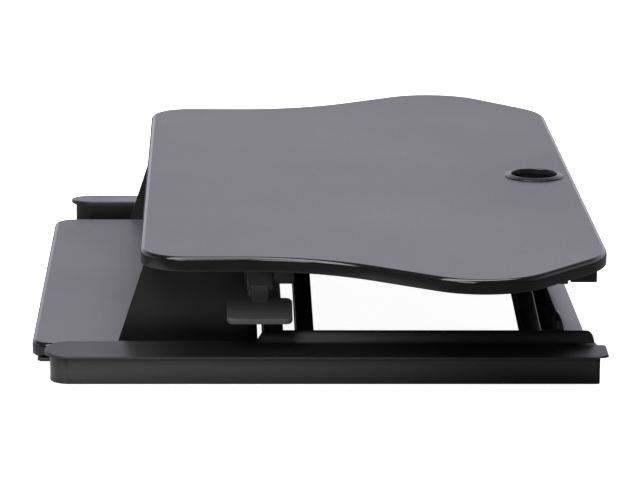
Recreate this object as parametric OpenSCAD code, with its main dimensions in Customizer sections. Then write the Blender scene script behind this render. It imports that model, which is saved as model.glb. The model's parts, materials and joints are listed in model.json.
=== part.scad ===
// Standing desk converter: a worktop and a keyboard tray that rise together on a
// transverse scissor lift, held by two lockable gas springs with a lever at each side.
// Frame: X across the desk, Y towards the back, Z up, origin at the bottom centre.
// Depths named *_y are counted from the worktop's front edge and placed with fy().

/* [Worktop] */
// Half width of the narrow front stretch
top_half_w = 417; // [400:1:430]
// Depth from front edge to back edge
top_depth = 512; // [508:1:515]
// Board thickness
top_t = 16; // [14:1:18]
// Height of the worktop's upper face with the lift lowered
top_z = 147; // [146:1:150]
// Thickness of the edge band round both boards
band_t = 2; // [1:0.5:3]
// Bore of the cable grommet
grommet_bore = 53; // [45:1:54]

/* [Keyboard tray] */
// Width of the tray
tray_w = 624; // [600:1:625]
// Depth of the tray
tray_depth = 250; // [240:1:250]
// Board thickness of the tray
tray_t = 16; // [14:1:16]
// How far the tray reaches in front of the worktop
tray_reach = 123; // [120:1:130]

/* [Base] */
// Outer span across both feet
base_span = 811; // [811:1:820]
// Width of a foot
foot_w = 57; // [56:1:57]
// Length of a foot, tip to tongue
foot_len = 620; // [619:1:622]
// Height of the rubber pads
pad_h = 1; // [1:0.5:2]

/* [Scissor lift] */
// Half distance between the fixed and sliding pivots when lowered
pivot_x = 330; // [326:1:330]
// Height of the lower pivots
low_z = 25; // [25:0.1:25.5]
// Height of a scissor arm's section
arm_h = 26; // [24:1:26]
// Width of an inner arm
inner_w = 20; // [17:1:20]
// Width of an outer arm
outer_w = 8; // [6:1:8]
// Thickness of the folded sheet parts
sheet_t = 2.4; // [2:0.1:2.4]

/* [Hidden] */
$fn = 64;

black = "#1c1c1f";
dark = "#2a2a2d";
laminate = "#4a4950";
steel = "#8d9096";
rubber = "#141414";
nylon = "#d8d6cf";

arc_steps = 12;
run_gap = 0.05;
foot_y0 = -105;
total_depth = foot_y0 + foot_len + tray_reach;
top_low_z = top_z - top_t;
low_x_in = base_span / 2 - foot_w;
foot_y1 = foot_y0 + foot_len;

// Height of the upper pivots and length and rest angle of an arm
up_z = top_low_z - 16;
arm_len = norm([2 * pivot_x, up_z - low_z]);
rest_angle = atan2(up_z - low_z, 2 * pivot_x);
mid_z = (low_z + up_z) / 2;

// Lanes of the beams and arms, as depths behind the worktop's front edge
front_beam_y = 147;
rear_beam_y = 482.4;
front_inner_y = 182.4;
rear_inner_y = 437.3;
beam_w = 22.5;
ledge_w = 15;
beam_z0 = low_z - 16;
beam_z1 = low_z + 16;
wall = 2.2;
front_outer_y = front_beam_y + beam_w / 2 + 0.8 + outer_w / 2;
rear_outer_y = rear_beam_y - beam_w / 2 - 0.8 - outer_w / 2;
pin_r = 6;
small_pin_r = 5;
tube_r = 9;
stretcher_x = -145;
stretcher_r = 8;

// Tray heights
flange_t = 2.5;
tray_z0 = pad_h + 5;
hanger_x = tray_w / 2 + 0.7;

// Gas springs
spring_y = [262, 352];
spring_z = top_low_z - 18;
spring_r = 10;
spring_bore_r = 8.5;
rod_r = 4;
anchor_x = -345;
anchor_t = 4;
carriage_x = -107;
carriage_t = 4;
cylinder_x0 = -322;
cable_z = top_low_z - 4;
cable_r = 2.2;
cable_bend = 20;
cable_run_y = 127;
cable_back_y = [297, 317];
cable_turn_x = [-100, 60];

// Levers
lever_y = 131;
lever_x = 368;
lever_z = top_low_z - 18;
lever_tilt = 19;
housing_w = 28;
lever_pin_r = 3;

// Places a depth counted from the worktop's front edge in the part's frame
function fy(y) = y + tray_reach - total_depth / 2;

// Unit vector along v
function unit(v) = v / norm(v);

// Points of the arc that rounds corner q, between its neighbours p and s
function arc_at(p, q, s) =
    let (
        a = unit([p.x - q.x, p.y - q.y]),
        b = unit([s.x - q.x, s.y - q.y]),
        half = acos(a * b) / 2,
        c = [q.x, q.y] + unit(a + b) * q.z / sin(half),
        start = [q.x, q.y] + a * q.z / tan(half) - c,
        turn = sign(a.y * b.x - a.x * b.y) * (180 - 2 * half),
        a0 = atan2(start.y, start.x)
    )
    [for (i = [0:arc_steps]) c + q.z * [cos(a0 + turn * i / arc_steps), sin(a0 + turn * i / arc_steps)]];

// Rounded outline from corners [x, y, radius], anticlockwise
function outline(v) =
    [for (i = [0:len(v) - 1]) each arc_at(v[(i + len(v) - 1) % len(v)], v[i], v[(i + 1) % len(v)])];

// The same corners moved inwards by t, with radii to match
function inset(v, t) =
    [for (i = [0:len(v) - 1])
        let (
            p = v[(i + len(v) - 1) % len(v)],
            q = v[i],
            s = v[(i + 1) % len(v)],
            d1 = unit([q.x - p.x, q.y - p.y]),
            d2 = unit([s.x - q.x, s.y - q.y]),
            n1 = [-d1.y, d1.x],
            n2 = [-d2.y, d2.x],
            m = (n1 + n2) * t / (1 + n1 * n2),
            convex = d1.x * d2.y - d1.y * d2.x > 0
        )
        [q.x + m.x, q.y + m.y, convex ? q.z - t : q.z + t]];

// A right half of corners closed by its mirror image
function both_sides(v) =
    concat(v, [for (i = [len(v) - 1:-1:0]) [-v[i].x, v[i].y, v[i].z]]);

// Worktop: straight front stretch, sweep outwards, wide shoulder, cut rear corner
top_corners = both_sides([
    [top_half_w, fy(0), 50],
    [top_half_w, fy(192), 240],
    [top_half_w + 130, fy(382), 90],
    [top_half_w - 17, fy(top_depth), 90]
]);

// Tray: round front corners and tight rear ones
tray_corners = both_sides([
    [tray_w / 2, fy(-tray_reach), 24],
    [tray_w / 2, fy(tray_depth - tray_reach), 6]
]);

grommet_x = 0;
grommet_y = fy(465.2);
grommet_r = grommet_bore / 2;
grommet_hole_r = 30;

module board(corners, t) {
    linear_extrude(t) polygon(outline(inset(corners, band_t)));
}

module band(corners, t) {
    linear_extrude(t)
        difference() {
            polygon(outline(corners));
            polygon(outline(inset(corners, band_t)));
        }
}

// Draws its children as they are for side 1 and mirrored to -X for side -1
module side(s) {
    if (s < 0) mirror([1, 0, 0]) children();
    else children();
}

// Cylinder along Y from depth y0 to depth y1
module y_rod(x, z, r, y0, y1) {
    translate([x, fy(y0), z]) rotate([-90, 0, 0]) cylinder(r = r, h = y1 - y0);
}

// Cylinder along X
module x_rod(y, z, r, x0, x1) {
    translate([x0, fy(y), z]) rotate([0, 90, 0]) cylinder(r = r, h = x1 - x0);
}

// Box from depth y0 to depth y1
module slab(x0, x1, y0, y1, z0, z1) {
    translate([x0, fy(y0), z0]) cube([x1 - x0, y1 - y0, z1 - z0]);
}

// Sheet cut to an outline in X and Z, standing from depth y0 to depth y1
module xz_plate(points, y0, y1) {
    translate([0, fy(y1), 0]) rotate([90, 0, 0]) linear_extrude(y1 - y0) polygon(points);
}

// Sheet cut to an outline in depth and Z, from x0 to x1
module yz_plate(points, x0, x1) {
    translate([x0, fy(0), 0]) rotate([90, 0, 90]) linear_extrude(x1 - x0) polygon(points);
}

// ---------- base ----------

channel_inset = 3;
channel_y = [foot_y0 + 6, foot_y1 - 10];
channel_z = [pad_h, 30];
cover_edge_z = 32;
cover_rise = 4;
floor_t = 2.5;

module foot_channel_2d(t) {
    x0 = low_x_in;
    x1 = base_span / 2 - channel_inset;
    polygon(outline(inset([
        [x0, fy(channel_y[0]), 22],
        [x1, fy(channel_y[0]), 22],
        [x1, fy(channel_y[1]), 4],
        [x0, fy(channel_y[1]), 4]
    ], t)));
}

module foot_channel() {
    difference() {
        translate([0, 0, channel_z[0]])
            linear_extrude(channel_z[1] - channel_z[0]) foot_channel_2d(0);
        translate([0, 0, channel_z[0] + floor_t])
            linear_extrude(channel_z[1]) foot_channel_2d(floor_t);
        for (y = [front_beam_y, rear_beam_y])
            for (z = screw_z)
                x_rod(y, z, screw_r + run_gap, low_x_in - 1, low_x_in + floor_t + 1);
    }
}

module left_foot_channel() color(dark) side(-1) foot_channel();
module right_foot_channel() color(dark) side(1) foot_channel();

module foot_cover() {
    x0 = low_x_in;
    x1 = base_span / 2;
    tongue_y = foot_y1 - 13;
    tongue_x = x0 + 13;
    shoulder_y = [126, tongue_y + 1];
    shoulder_z = 48.5;
    front_ramp = 11;
    intersection() {
        translate([0, 0, channel_z[1]])
            linear_extrude(shoulder_z)
                polygon(outline([
                    [x0, fy(foot_y0), foot_w / 2 - 0.1],
                    [x1, fy(foot_y0), foot_w / 2 - 0.1],
                    [x1, fy(tongue_y), 4],
                    [x1 - 5, fy(tongue_y + 4), 1.5],
                    [x1 - 5, fy(foot_y1), 7],
                    [tongue_x, fy(foot_y1), 4],
                    [tongue_x, fy(tongue_y + 4), 1.5],
                    [x0, fy(tongue_y + 2), 4]
                ]));
        union() {
            xz_plate([
                [x0 - 1, channel_z[1]],
                [x1 + 1, channel_z[1]],
                [x1 + 1, cover_edge_z],
                [x0 - 1, cover_edge_z + cover_rise]
            ], foot_y0 - 1, foot_y1 + 1);
            intersection() {
                xz_plate([
                    [x0, channel_z[1]],
                    [x0 + 12, channel_z[1]],
                    [x0 + 12, cover_edge_z + 2],
                    [x0 + 3, shoulder_z],
                    [x0, shoulder_z]
                ], shoulder_y[0], shoulder_y[1]);
                yz_plate([
                    [shoulder_y[0], channel_z[1]],
                    [shoulder_y[1], channel_z[1]],
                    [shoulder_y[1], cover_edge_z + 4],
                    [shoulder_y[1] - 2, shoulder_z - 6],
                    [shoulder_y[1] - 5, shoulder_z - 2],
                    [shoulder_y[1] - 9, shoulder_z],
                    [shoulder_y[0] + front_ramp, shoulder_z],
                    [shoulder_y[0], cover_edge_z + 2]
                ], x0 - 1, x0 + 14);
            }
        }
    }
}

module left_foot_cover() color(black) side(-1) foot_cover();
module right_foot_cover() color(black) side(1) foot_cover();

module foot_pads() {
    color(rubber)
        for (s = [-1, 1])
            for (y = [-65, 200, 465])
                side(s)
                    translate([base_span / 2 - foot_w / 2 - 1, fy(y), 0])
                        cylinder(r = 14, h = pad_h);
}

screw_r = 3;
screw_z = [16, 24];
end_plate_t = 3;

// C-section open towards the middle of the object (dir 1 is +Y), with a lip at its lower edge
module base_beam(y, dir, lip_y) {
    back = y - dir * beam_w / 2;
    mouth = y + dir * beam_w / 2;
    lip_t = 1.2;
    lip_h = 6;
    end_x = low_x_in - end_plate_t;
    difference() {
        union() {
            slab(-low_x_in, low_x_in, min(back, back + dir * wall), max(back, back + dir * wall), beam_z0, beam_z1);
            slab(-low_x_in, low_x_in, min(back, mouth), max(back, mouth), beam_z1 - wall, beam_z1);
            slab(-low_x_in, low_x_in, min(back, lip_y), max(back, lip_y), beam_z0, beam_z0 + wall);
            slab(-low_x_in, low_x_in, min(lip_y, lip_y - dir * lip_t), max(lip_y, lip_y - dir * lip_t),
                beam_z0, beam_z0 + lip_h);
            for (s = [-1, 1])
                side(s) slab(end_x, low_x_in, min(back, mouth), max(back, mouth), beam_z0, beam_z1);
        }
        y_rod(pivot_x, low_z, pin_r + run_gap, y - beam_w, y);
        y_rod(pivot_x, low_z, pin_r + run_gap, y, y + beam_w);
        for (s = [-1, 1])
            for (z = screw_z)
                side(s) x_rod(y, z, screw_r + run_gap, end_x - 1, low_x_in + 1);
    }
}

module front_base_beam() color(black) base_beam(front_beam_y, 1, front_beam_y + beam_w / 2);

// The rear beam also has a ledge with a long slot, under the inner arm's edge
module rear_base_beam() {
    lip_y = rear_beam_y - beam_w / 2 - ledge_w;
    slot_w = 4.5;
    strip_w = 7.5;
    strip_y = lip_y - slot_w - strip_w;
    color(black) {
        base_beam(rear_beam_y, -1, lip_y);
        slab(-low_x_in, low_x_in, strip_y, strip_y + strip_w, beam_z0, beam_z0 + wall);
        for (s = [-1, 1])
            side(s) slab(low_x_in - 12, low_x_in, strip_y, lip_y + 1, beam_z0, beam_z0 + wall);
    }
}

// Block on a foot that carries a lower pivot pin, as high as top_h
module hinge_bracket(y0, y1, top_h) {
    difference() {
        xz_plate([
            [pivot_x - 26, beam_z0 + wall],
            [low_x_in, beam_z0 + wall],
            [low_x_in, top_h - 4],
            [pivot_x + 8, top_h],
            [pivot_x - 10, top_h],
            [pivot_x - 26, top_h - 12]
        ], y0, y1);
        y_rod(pivot_x, low_z, pin_r + run_gap, y0 - 1, y1 + 1);
    }
}

module front_hinge_bracket() {
    y0 = front_beam_y + beam_w / 2;
    color(black) hinge_bracket(y0, y0 + 10, 38);
}

// The rear bracket narrows upwards to a rib
module rear_hinge_bracket() {
    y1 = rear_beam_y - beam_w / 2;
    y0 = y1 - 10;
    color(black)
        intersection() {
            hinge_bracket(y0, y1, 63);
            yz_plate([
                [y0, 0],
                [y1, 0],
                [y1, beam_z1],
                [y0 + 4.5, 64],
                [y0, 64]
            ], 0, base_span / 2);
        }
}

// Headed pins fixed in the beams, one for each inner arm
module lower_pivot_pins() {
    color(steel) {
        y_rod(pivot_x, low_z, pin_r, front_beam_y - beam_w / 2, front_inner_y + inner_w / 2 + 1);
        y_rod(pivot_x, low_z, pin_r + 3, front_inner_y + inner_w / 2 + 1, front_inner_y + inner_w / 2 + 4);
        y_rod(pivot_x, low_z, pin_r, rear_inner_y - inner_w / 2 - 1, rear_beam_y + beam_w / 2);
        y_rod(pivot_x, low_z, pin_r + 3, rear_inner_y - inner_w / 2 - 4, rear_inner_y - inner_w / 2 - 1);
    }
}

// Button-head screws that hold the beam ends to the foot channels
module base_screws() {
    head_h = 3;
    color(steel)
        for (s = [-1, 1])
            for (y = [front_beam_y, rear_beam_y])
                for (z = screw_z)
                    side(s) {
                        x_rod(y, z, screw_r, low_x_in - end_plate_t, low_x_in + floor_t);
                        x_rod(y, z, screw_r + 0.9, low_x_in + floor_t, low_x_in + floor_t + head_h);
                    }
}

// ---------- scissor arms ----------

// Puts its children on an arm's line: u runs from the lower pivot, Z stays across the arm
module on_inner_arm() {
    translate([pivot_x, 0, low_z]) rotate([0, 180 + rest_angle, 0]) mirror([0, 0, 1]) children();
}

module on_outer_arm() {
    translate([-pivot_x, 0, low_z]) rotate([0, -rest_angle, 0]) children();
}

tube_wall = 2.5;
bush_r = pin_r + run_gap;
bush_wall = 2;

module inner_arm(y) {
    y0 = y - inner_w / 2;
    y1 = y + inner_w / 2;
    on_inner_arm()
        difference() {
            union() {
                slab(0, arm_len, y0, y1, -arm_h / 2, arm_h / 2);
                y_rod(0, 0, arm_h / 2, y0, y1);
                y_rod(arm_len, 0, arm_h / 2, y0, y1);
            }
            slab(-arm_h, arm_len + arm_h, y0 + tube_wall, y1 - tube_wall,
                -arm_h / 2 + tube_wall, arm_h / 2 - tube_wall);
            y_rod(0, 0, bush_r + bush_wall + run_gap, y0 - 1, y1 + 1);
            y_rod(arm_len / 2, 0, tube_r + run_gap, y0 - 1, y1 + 1);
            y_rod(arm_len, 0, small_pin_r + run_gap, y0 - 1, y1 + 1);
        }
}

module front_inner_arm() color(black) inner_arm(front_inner_y);
module rear_inner_arm() color(black) inner_arm(rear_inner_y);

module center_tube() {
    color(dark)
        difference() {
            y_rod(0, mid_z, tube_r, front_outer_y - outer_w / 2 - 1, rear_outer_y + outer_w / 2 + 1);
            y_rod(0, mid_z, tube_r - 2, front_outer_y - outer_w, rear_outer_y + outer_w);
        }
}

// Push-on caps that keep the outer arms on the centre tube
module center_tube_caps() {
    cap_t = 3;
    y0 = front_outer_y - outer_w / 2 - 1;
    y1 = rear_outer_y + outer_w / 2 + 1;
    color(rubber) {
        y_rod(0, mid_z, tube_r + 3, y0 - cap_t, y0);
        y_rod(0, mid_z, tube_r - 2 - run_gap, y0, y0 + 8);
        y_rod(0, mid_z, tube_r + 3, y1, y1 + cap_t);
        y_rod(0, mid_z, tube_r - 2 - run_gap, y1 - 8, y1);
    }
}

// Heights of the arms' centre lines at a given x
function inner_line(x) = low_z + (pivot_x - x) * tan(rest_angle);
function outer_line(x) = low_z + (pivot_x + x) * tan(rest_angle);

module inner_arm_stretcher() {
    color(black)
        difference() {
            y_rod(stretcher_x, inner_line(stretcher_x), stretcher_r,
                front_inner_y + inner_w / 2, rear_inner_y - inner_w / 2);
            y_rod(stretcher_x, inner_line(stretcher_x), stretcher_r - 2,
                front_inner_y, rear_inner_y);
        }
}

module ring(x, z, r_in, r_out, y0, y1) {
    difference() {
        y_rod(x, z, r_out, y0, y1);
        y_rod(x, z, r_in, y0 - 1, y1 + 1);
    }
}

// Plain bushes in the inner arms' lower ends
module inner_arm_bushes() {
    color(nylon)
        for (y = [front_inner_y, rear_inner_y])
            ring(pivot_x, low_z, bush_r, bush_r + bush_wall, y - inner_w / 2, y + inner_w / 2);
}

track_gap = 1.5;
link_t = 2.5;
track_w = 22;
slide_w = 16;

// Pins at the inner arms' upper ends, each through a carriage link and a slide block
module upper_slide_pins() {
    reach = inner_w / 2 + track_gap + link_t + 1 + slide_w;
    color(steel) {
        y_rod(-pivot_x, up_z, small_pin_r, front_inner_y - inner_w / 2, front_inner_y + reach);
        y_rod(-pivot_x, up_z, small_pin_r + 3, front_inner_y - inner_w / 2 - 2, front_inner_y - inner_w / 2);
        y_rod(-pivot_x, up_z, small_pin_r, rear_inner_y - reach, rear_inner_y + inner_w / 2);
        y_rod(-pivot_x, up_z, small_pin_r + 3, rear_inner_y + inner_w / 2, rear_inner_y + inner_w / 2 + 2);
    }
}

// Flat bar with round ends
module outer_arm(y) {
    y0 = y - outer_w / 2;
    y1 = y + outer_w / 2;
    on_outer_arm()
        difference() {
            union() {
                slab(0, arm_len, y0, y1, -arm_h / 2, arm_h / 2);
                y_rod(0, 0, arm_h / 2, y0, y1);
                y_rod(arm_len, 0, arm_h / 2, y0, y1);
            }
            y_rod(0, 0, small_pin_r + run_gap, y0 - 1, y1 + 1);
            y_rod(arm_len / 2, 0, tube_r + 2 * run_gap + bush_wall, y0 - 1, y1 + 1);
            y_rod(arm_len, 0, small_pin_r + 2 * run_gap + bush_wall, y0 - 1, y1 + 1);
        }
}

module front_outer_arm() color(black) outer_arm(front_outer_y);
module rear_outer_arm() color(black) outer_arm(rear_outer_y);

module outer_arm_stretcher() {
    color(black)
        difference() {
            y_rod(stretcher_x, outer_line(stretcher_x), stretcher_r,
                front_outer_y + outer_w / 2, rear_outer_y - outer_w / 2);
            y_rod(stretcher_x, outer_line(stretcher_x), stretcher_r - 2, front_outer_y, rear_outer_y);
        }
}

// Bushes in the outer arms, at the centre tube and at the top pivots
module outer_arm_bushes() {
    color(nylon)
        for (y = [front_outer_y, rear_outer_y]) {
            ring(0, mid_z, tube_r + run_gap, tube_r + run_gap + bush_wall, y - outer_w / 2, y + outer_w / 2);
            ring(pivot_x, up_z, small_pin_r + run_gap, small_pin_r + run_gap + bush_wall,
                y - outer_w / 2, y + outer_w / 2);
        }
}

slide_depth = beam_w - wall - 2.4;
front_shoe_y = front_beam_y + beam_w / 2 - 2.2 - slide_depth;
rear_shoe_y = rear_beam_y - beam_w / 2 + 2.2;

// Pins that carry the lower slide blocks on the outer arms' lower ends
module lower_slide_pins() {
    color(steel) {
        y_rod(-pivot_x, low_z, small_pin_r, front_shoe_y, front_outer_y + outer_w / 2);
        y_rod(-pivot_x, low_z, small_pin_r, rear_outer_y - outer_w / 2, rear_shoe_y + slide_depth);
    }
}

// Nylon block that runs inside a beam, from depth y0
module lower_slide(y0) {
    half_l = 13;
    difference() {
        slab(-pivot_x - half_l, -pivot_x + half_l, y0, y0 + slide_depth,
            beam_z0 + wall + 0.1, beam_z1 - wall - 0.1);
        y_rod(-pivot_x, low_z, small_pin_r + run_gap, y0 - 1, y0 + slide_depth + 1);
    }
}

module front_lower_slide() color(nylon) lower_slide(front_shoe_y);
module rear_lower_slide() color(nylon) lower_slide(rear_shoe_y);

// ---------- upper slides and gas springs ----------

track_z0 = top_low_z - 30;
slide_half_l = 18;
front_link_y = front_inner_y + inner_w / 2 + track_gap;
rear_link_y = rear_inner_y - inner_w / 2 - track_gap;
front_slide_y = front_link_y + link_t + 1;
rear_slide_y = rear_link_y - link_t - 1;

module upper_slide(y0, y1) {
    difference() {
        slab(-pivot_x - slide_half_l, -pivot_x + slide_half_l, y0, y1,
            track_z0 + sheet_t + 0.1, top_low_z - sheet_t - 0.1);
        y_rod(-pivot_x, up_z, small_pin_r + run_gap, y0 - 1, y1 + 1);
    }
}

module front_upper_slide() color(nylon) upper_slide(front_slide_y, front_slide_y + slide_w);
module rear_upper_slide() color(nylon) upper_slide(rear_slide_y - slide_w, rear_slide_y);

// C-section rail under the worktop, open towards its arm
module upper_track(y0, y1, back_y) {
    x0 = -pivot_x - slide_half_l - 7;
    x1 = -140;
    slab(x0, x1, y0, y1, track_z0, track_z0 + sheet_t);
    slab(x0, x1, y0, y1, top_low_z - sheet_t, top_low_z);
    slab(x0, x1, back_y, back_y + sheet_t, track_z0, top_low_z);
}

module front_upper_track() {
    y1 = front_slide_y + track_w;
    color(black) upper_track(front_slide_y, y1, y1 - sheet_t);
}

module rear_upper_track() {
    y0 = rear_slide_y - track_w;
    color(black) upper_track(y0, rear_slide_y, y0);
}

// Frame that joins both slide pins and carries the gas cylinders along with them
module spring_carriage() {
    z0 = top_low_z - 27;
    z1 = top_low_z - 8;
    x0 = -pivot_x - 12;
    color(dark)
        difference() {
            union() {
                slab(x0, carriage_x + carriage_t, front_link_y, front_link_y + link_t, z0, z1);
                slab(x0, carriage_x + carriage_t, rear_link_y - link_t, rear_link_y, z0, z1);
                slab(carriage_x, carriage_x + carriage_t, front_link_y, rear_link_y, z0, z1);
            }
            y_rod(-pivot_x, up_z, small_pin_r + run_gap, front_link_y - 1, rear_link_y + 1);
        }
}

module gas_cylinder(y) {
    guide_l = 14;
    end_l = 6;
    difference() {
        x_rod(y, spring_z, spring_r, cylinder_x0, carriage_x);
        x_rod(y, spring_z, spring_bore_r, cylinder_x0 + guide_l, carriage_x - end_l);
        x_rod(y, spring_z, rod_r + run_gap, cylinder_x0 - 1, cylinder_x0 + guide_l + 1);
    }
}

module front_gas_cylinder() color(black) gas_cylinder(spring_y[0]);
module rear_gas_cylinder() color(black) gas_cylinder(spring_y[1]);

module gas_rod(y) {
    piston_x = -123;
    x_rod(y, spring_z, rod_r, anchor_x - 4, piston_x);
    x_rod(y, spring_z, spring_bore_r - 2 * run_gap, piston_x, piston_x + 7);
}

module front_gas_rod() color(steel) gas_rod(spring_y[0]);
module rear_gas_rod() color(steel) gas_rod(spring_y[1]);

// Nuts that clamp each rod to the anchor plate
module gas_rod_nuts() {
    nut_r = 7.5;
    nut_t = 4;
    color(steel)
        for (y = spring_y)
            translate([anchor_x + anchor_t, fy(y), spring_z])
                rotate([0, 90, 0])
                    difference() {
                        cylinder(r = nut_r, h = nut_t, $fn = 6);
                        translate([0, 0, -1]) cylinder(r = rod_r + run_gap, h = nut_t + 2);
                    }
}

stud_r = 2.5;
bar_dy = 20;

// Plate under the worktop that holds both rods, the cable ends and the bars' guide studs
module spring_anchor() {
    y0 = 240;
    y1 = 374;
    tab = 42;
    color(black)
        difference() {
            union() {
                slab(anchor_x, anchor_x + anchor_t, y0, y1, track_z0, top_low_z);
                slab(anchor_x, anchor_x + 30, y0, y0 + tab, top_low_z - sheet_t, top_low_z);
                slab(anchor_x, anchor_x + 30, y1 - tab, y1, top_low_z - sheet_t, top_low_z);
                x_rod(spring_y[0] + bar_dy, spring_z, stud_r, anchor_x - 16, anchor_x + 1);
                x_rod(spring_y[1] - bar_dy, spring_z, stud_r, anchor_x - 16, anchor_x + 1);
            }
            for (y = spring_y)
                x_rod(y, spring_z, rod_r + run_gap, anchor_x - 1, anchor_x + anchor_t + 1);
            for (y = anchor_screw_y)
                screw_hole(anchor_screw_x, y, top_low_z - sheet_t);
        }
}

// Bar that the cable draws towards the rod's release pin, from depth y of its rod
module release_bar(y, dir, cable_y) {
    x0 = anchor_x - 14;
    bar_t = 5;
    ya = dir > 0 ? y - 7 : cable_y - 4;
    yb = dir > 0 ? cable_y + 4 : y + 7;
    difference() {
        union() {
            slab(x0, x0 + bar_t, ya, yb, spring_z - 6, top_low_z - 2);
            x_rod(y, spring_z, 2, x0 + bar_t, anchor_x - 7);
        }
        x_rod(y + dir * bar_dy, spring_z, stud_r + run_gap, x0 - 1, x0 + bar_t + 1);
    }
}

module left_release_bar() color(nylon) release_bar(spring_y[0], 1, cable_back_y[0]);
module right_release_bar() color(nylon) release_bar(spring_y[1], -1, cable_back_y[1]);

// ---------- worktop and tray ----------

module worktop_board() {
    color(laminate)
        difference() {
            translate([0, 0, top_low_z]) board(top_corners, top_t);
            translate([grommet_x, grommet_y, top_low_z - 1])
                cylinder(r = grommet_hole_r, h = top_t + 2);
        }
}

module worktop_edge_band() {
    color(black) translate([0, 0, top_low_z]) band(top_corners, top_t);
}

// Coned ring with a sleeve that lines the hole in the board
module cable_grommet() {
    rim = 3.6;
    wall_r = grommet_hole_r - run_gap;
    color(dark)
        translate([grommet_x, grommet_y, 0])
            rotate_extrude()
                polygon([
                    [grommet_r, top_low_z - 2],
                    [wall_r, top_low_z - 2],
                    [wall_r, top_z],
                    [grommet_hole_r + 4.9, top_z],
                    [grommet_hole_r + 4.3, top_z + 1.8],
                    [grommet_r + 3, top_z + rim],
                    [grommet_r + 1, top_z + rim],
                    [grommet_r, top_z + rim - 1]
                ]);
}

module keyboard_tray() {
    color(laminate) translate([0, 0, tray_z0]) board(tray_corners, tray_t);
}

module tray_edge_band() {
    color(black) translate([0, 0, tray_z0]) band(tray_corners, tray_t);
}

// Bent sheet from the worktop's underside down to a flange under the tray
module hanger_plate() {
    x0 = hanger_x;
    difference() {
        union() {
            yz_plate([
                [-33, tray_z0 - flange_t],
                [131, tray_z0 - flange_t],
                [129, 44],
                [119, 82],
                [108, top_low_z],
                [8, top_low_z],
                [-28, 20]
            ], x0, x0 + flange_t);
            slab(x0 - 22, x0 + 1, 12, 104, top_low_z - flange_t, top_low_z);
            slab(x0 - 30, x0 + flange_t, -tray_reach + 7, 124, tray_z0 - flange_t, tray_z0);
        }
        for (y = hanger_screw_y)
            screw_hole(x0 - 12, y, top_low_z - flange_t);
    }
}

module left_hanger_plate() color(black) side(-1) hanger_plate();
module right_hanger_plate() color(black) side(1) hanger_plate();

// Soft strip under each tray flange
module tray_runner() {
    slab(hanger_x - 27, hanger_x - 5, -tray_reach + 9, 120, 0.8, tray_z0 - flange_t);
}

module left_tray_runner() color(rubber) side(-1) tray_runner();
module right_tray_runner() color(rubber) side(1) tray_runner();

// Clevis under the worktop for an outer arm at depth y, closed at its end, from depth ya to depth yb
module top_bracket(y, ya, yb) {
    cheek = 2;
    gap = outer_w / 2 + 0.6;
    x0 = pivot_x - 46;
    x1 = pivot_x + 16;
    difference() {
        slab(x0, x1, ya, yb, track_z0 - 1, top_low_z);
        slab(x0 - 1, x1 - cheek, y - gap, y + gap, track_z0 - 2, top_low_z - flange_t);
        if (ya < y - gap - 2 * cheek)
            slab(x0 - 1, x1 - cheek, ya + cheek, y - gap - cheek, track_z0 - 2, top_low_z - flange_t);
        y_rod(pivot_x, up_z, small_pin_r + run_gap, y - gap - cheek - 1, y + gap + cheek + 1);
        screw_hole(x0 + 10, y, top_low_z - flange_t);
    }
}

module front_top_bracket() {
    color(black) top_bracket(front_outer_y, 147, front_outer_y + outer_w / 2 + 2.6);
}

// The rear clevis has a box beside it that stiffens the worktop's rear edge
module rear_top_bracket() {
    yb = rear_outer_y + outer_w / 2 + 2.6;
    x1 = pivot_x + 16;
    box_y = [yb + 3, 505];
    color(black) {
        top_bracket(rear_outer_y, rear_outer_y - outer_w / 2 - 12, yb);
        slab(x1 - 62, x1, yb - 1, box_y[0] + 1, top_low_z - flange_t, top_low_z);
        difference() {
            slab(x1 - 62, x1, box_y[0], box_y[1], track_z0 + 1, top_low_z);
            slab(x1 - 63, x1 - 2, box_y[0] + 2, box_y[1] - 2, track_z0, top_low_z - flange_t);
        }
    }
}

module upper_pivot_pins() {
    reach = outer_w / 2 + 2.6;
    color(steel)
        for (y = [front_outer_y, rear_outer_y])
            y_rod(pivot_x, up_z, small_pin_r, y - reach, y + reach);
}

hanger_screw_y = [28, 88];
anchor_screw_y = [252, 362];
anchor_screw_x = anchor_x + 20;

// Clearance hole for a wood screw through a flange
module screw_hole(x, y, z) {
    translate([x, fy(y), z - 1]) cylinder(r = 2.1, h = flange_t + 2);
}

// Pan-head wood screws through the flanges into the board
module wood_screw(x, y, z) {
    translate([x, fy(y), z - 2.5]) cylinder(r = 4, h = 2.5);
    translate([x, fy(y), z - 1]) cylinder(r = 2, h = 12);
}

module worktop_screws() {
    color(steel) {
        for (s = [-1, 1])
            for (y = hanger_screw_y)
                side(s) wood_screw(hanger_x - 12, y, top_low_z - flange_t);
        for (y = [front_outer_y, rear_outer_y])
            wood_screw(pivot_x - 36, y, top_low_z - flange_t);
        for (y = anchor_screw_y)
            wood_screw(anchor_screw_x, y, top_low_z - sheet_t);
    }
}

// ---------- levers and cables ----------

housing_x = [350, 386];
housing_z0 = top_low_z - 28;
cheek_t = 3;

module lever_housing() {
    y0 = lever_y - housing_w / 2;
    y1 = lever_y + housing_w / 2;
    difference() {
        slab(housing_x[0], housing_x[1], y0, y1, housing_z0, top_low_z);
        slab(housing_x[0] + cheek_t, housing_x[1] - cheek_t, y0 + cheek_t, y1 - cheek_t,
            housing_z0 - 1, top_low_z - cheek_t);
        slab(housing_x[0] - 1, housing_x[1] + 1, y0 + cheek_t, y1 - cheek_t, housing_z0 - 1, housing_z0 + 4.5);
        y_rod(lever_x, lever_z, lever_pin_r + run_gap, y0 - 1, y1 + 1);
    }
}

module left_lever_housing() color(black) side(-1) lever_housing();
module right_lever_housing() color(black) side(1) lever_housing();

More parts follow.
